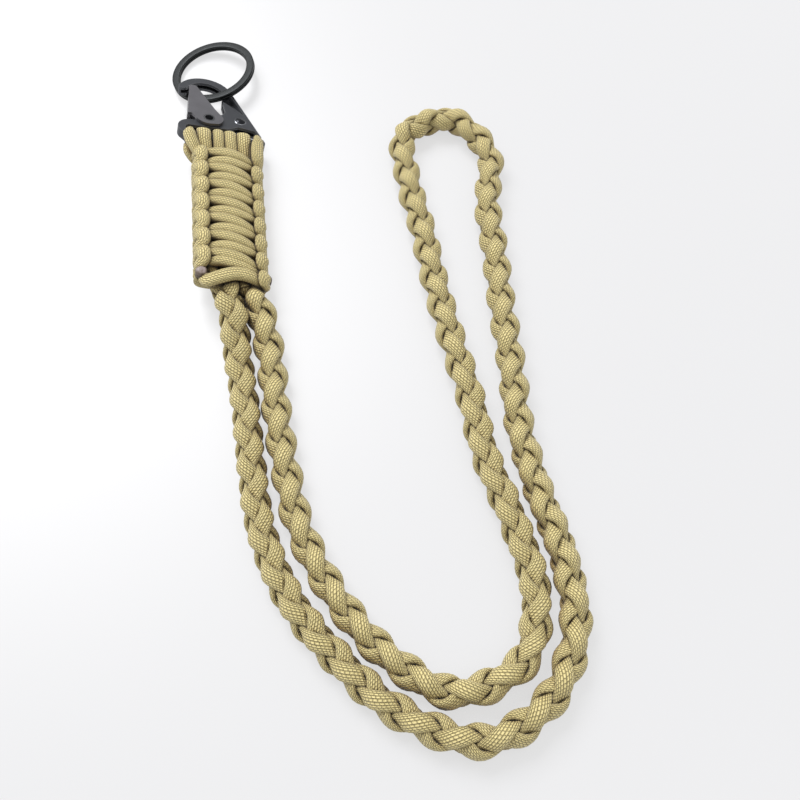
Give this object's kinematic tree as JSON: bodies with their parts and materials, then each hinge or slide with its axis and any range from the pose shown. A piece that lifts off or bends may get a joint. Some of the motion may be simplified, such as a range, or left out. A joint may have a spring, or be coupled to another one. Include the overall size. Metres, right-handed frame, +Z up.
{
  "type": "paracord lanyard",
  "caption": "Paracord lanyard: braided neck loop, woven cobra-knot grip, and a black sprung snap hook that holds a split key ring.",
  "frame": {"origin": "under the middle of the hook, key ring and woven grip, on the surface the lanyard lies on", "axes": "+Z up, +Y along the woven grip towards the snap hook and key ring, +X to the side the neck loop lies on"},
  "size_m": [0.1073, 0.2473, 0.0164],
  "materials": {
    "paracord": "woven nylon sheath, tan gold, soft sheen",
    "melted_nylon": "melted and hardened, smooth, brown grey",
    "black_steel": "black oxide, satin",
    "ring_steel": "black, satin",
    "spring_wire": "drawn wire"
  },
  "bodies": {
    "cords": {"core_cord_1": "paracord", "core_cord_2": "paracord", "core_cord_3": "paracord", "core_cord_4": "paracord", "weave_front_cord": "paracord", "weave_back_cord": "paracord", "melted_end_left": "melted_nylon", "melted_end_right": "melted_nylon", "neck_loop": "paracord"},
    "hook": {"hook_body": "black_steel", "gate_rivet": "black_steel", "gate_spring": "spring_wire", "body_rivet": "black_steel"},
    "gate": {"gate": "black_steel"},
    "key_ring": {"key_ring": "ring_steel"}
  },
  "joints": [
    {"name": "hook_swing", "type": "hinge", "parent": "cords", "child": "hook", "pos_m": [0.0026, 0.0039, 0.0083], "axis": [0.9511, 0, -0.309], "range_deg": [-25, 40]},
    {"name": "gate_open", "type": "hinge", "parent": "hook", "child": "gate", "pos_m": [-0.00256, 0.0129, 0.00796], "axis": [-0.3023, -0.2079, -0.9303], "range_deg": [0, 19], "stiffness_Nm_per_rad": 0.02, "springref_deg": -11.46, "deforming": ["gate_spring"]},
    {"name": "key_ring_turn", "type": "hinge", "parent": "hook", "child": "key_ring", "pos_m": [-0.001, 0.0412, 0.00325], "axis": [-0.1388, 0.0698, 0.9879], "continuous": true}
  ]
}
